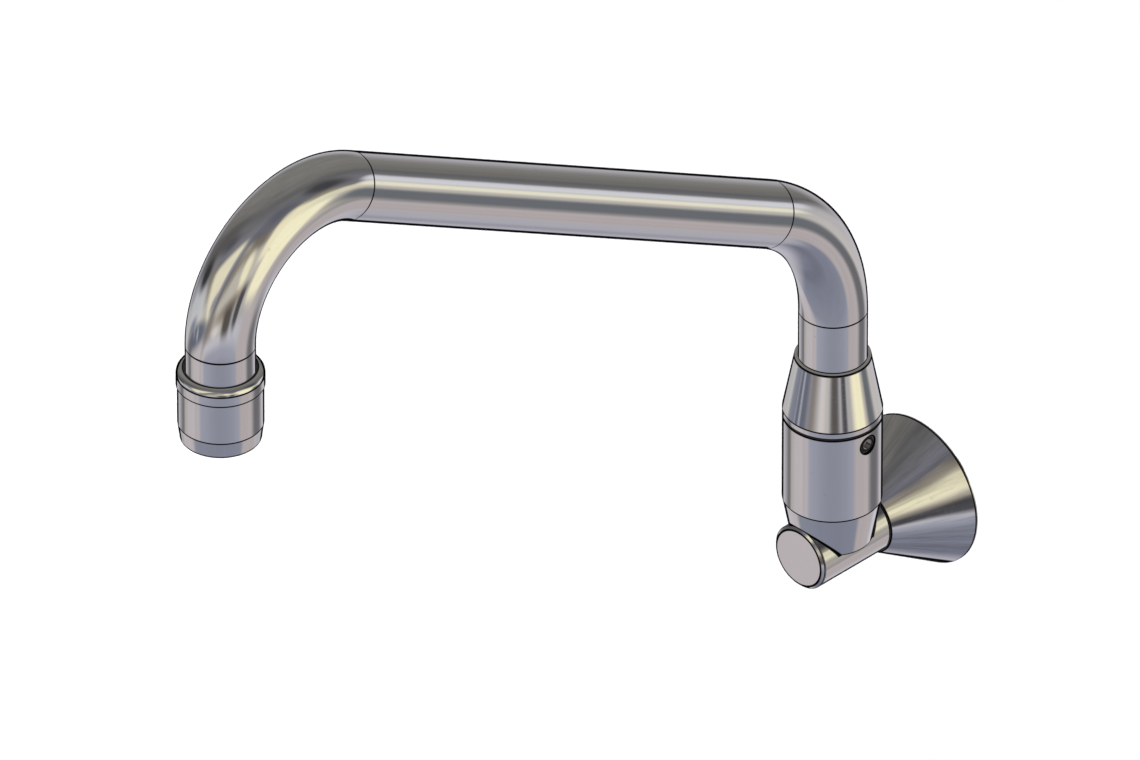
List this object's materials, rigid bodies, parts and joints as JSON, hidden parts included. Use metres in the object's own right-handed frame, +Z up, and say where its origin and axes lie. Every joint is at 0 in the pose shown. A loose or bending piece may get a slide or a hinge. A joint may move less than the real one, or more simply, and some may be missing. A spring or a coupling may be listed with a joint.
{
  "type": "wall-mounted swivel kitchen spout",
  "caption": "Chromed tube spout that rises from a swivel socket on a wall rosette, leans out over the sink and turns down to a screw-on aerator.",
  "frame": {"origin": "centre of the inlet thread where it leaves the wall plane, on the rosette's axis", "axes": "+Y along the inlet thread into the wall, -Y out into the room, +Z up, +X to the right for a person facing the wall"},
  "size_m": [0.0656, 0.4242, 0.3596],
  "materials": {
    "tube_chrome": "polished chrome over a drawn brass tube",
    "turned_chrome": "polished chrome over turned brass",
    "rosette_chrome": "chromed spun cone with fine turning marks",
    "brass": "plain turned brass",
    "rubber": "moulded black rubber",
    "black_polymer": "matt black slide polymer",
    "slide_polymer": "natural white slide polymer",
    "aerator_polymer": "moulded pale grey polymer",
    "screw_steel": "dark stainless steel",
    "screen_steel": "woven stainless wire"
  },
  "bodies": {
    "wall_fitting": {"inlet_pipe": "turned_chrome", "end_plug": "turned_chrome", "inlet_nipple": "brass", "socket_body": "turned_chrome", "wall_rosette": "rosette_chrome", "rosette_grip_ring": "rubber", "rosette_gasket": "rubber", "set_screw": "screw_steel", "slide_washer": "black_polymer"},
    "spout": {"spout_tube": "tube_chrome", "swivel_spigot": "brass", "lower_bearing_ring": "slide_polymer", "lower_o_ring": "rubber", "upper_o_ring": "rubber", "upper_bearing_ring": "slide_polymer", "cone_sleeve": "turned_chrome", "sleeve_grip_ring": "rubber", "outlet_collar": "turned_chrome", "collar_seal": "rubber"},
    "aerator_insert": {"aerator_gasket": "rubber", "aerator_strainer": "aerator_polymer", "aerator_cartridge": "aerator_polymer", "diffuser_plate": "aerator_polymer", "aerator_screens": "screen_steel", "outlet_grid": "aerator_polymer"},
    "aerator_cap": {"aerator_housing": "turned_chrome"}
  },
  "joints": [
    {"name": "spout_swivel", "type": "hinge", "parent": "wall_fitting", "child": "spout", "pos_m": [0, -0.05, 0.056], "axis": [0, 0, 1], "range_deg": [-90, 90]},
    {"name": "aerator_travel", "type": "slide", "parent": "spout", "child": "aerator_insert", "axis": [0, 0, -1], "range_m": [0, 0.0097]},
    {"name": "aerator_unscrew", "type": "hinge", "parent": "aerator_insert", "child": "aerator_cap", "pos_m": [0, -0.39158, 0.235], "axis": [0, 0, -1], "range_deg": [0, 3492]}
  ],
  "couplings": [
    {"joint": "aerator_travel", "follows": "aerator_unscrew", "m_per_rad": 0.00015915}
  ]
}
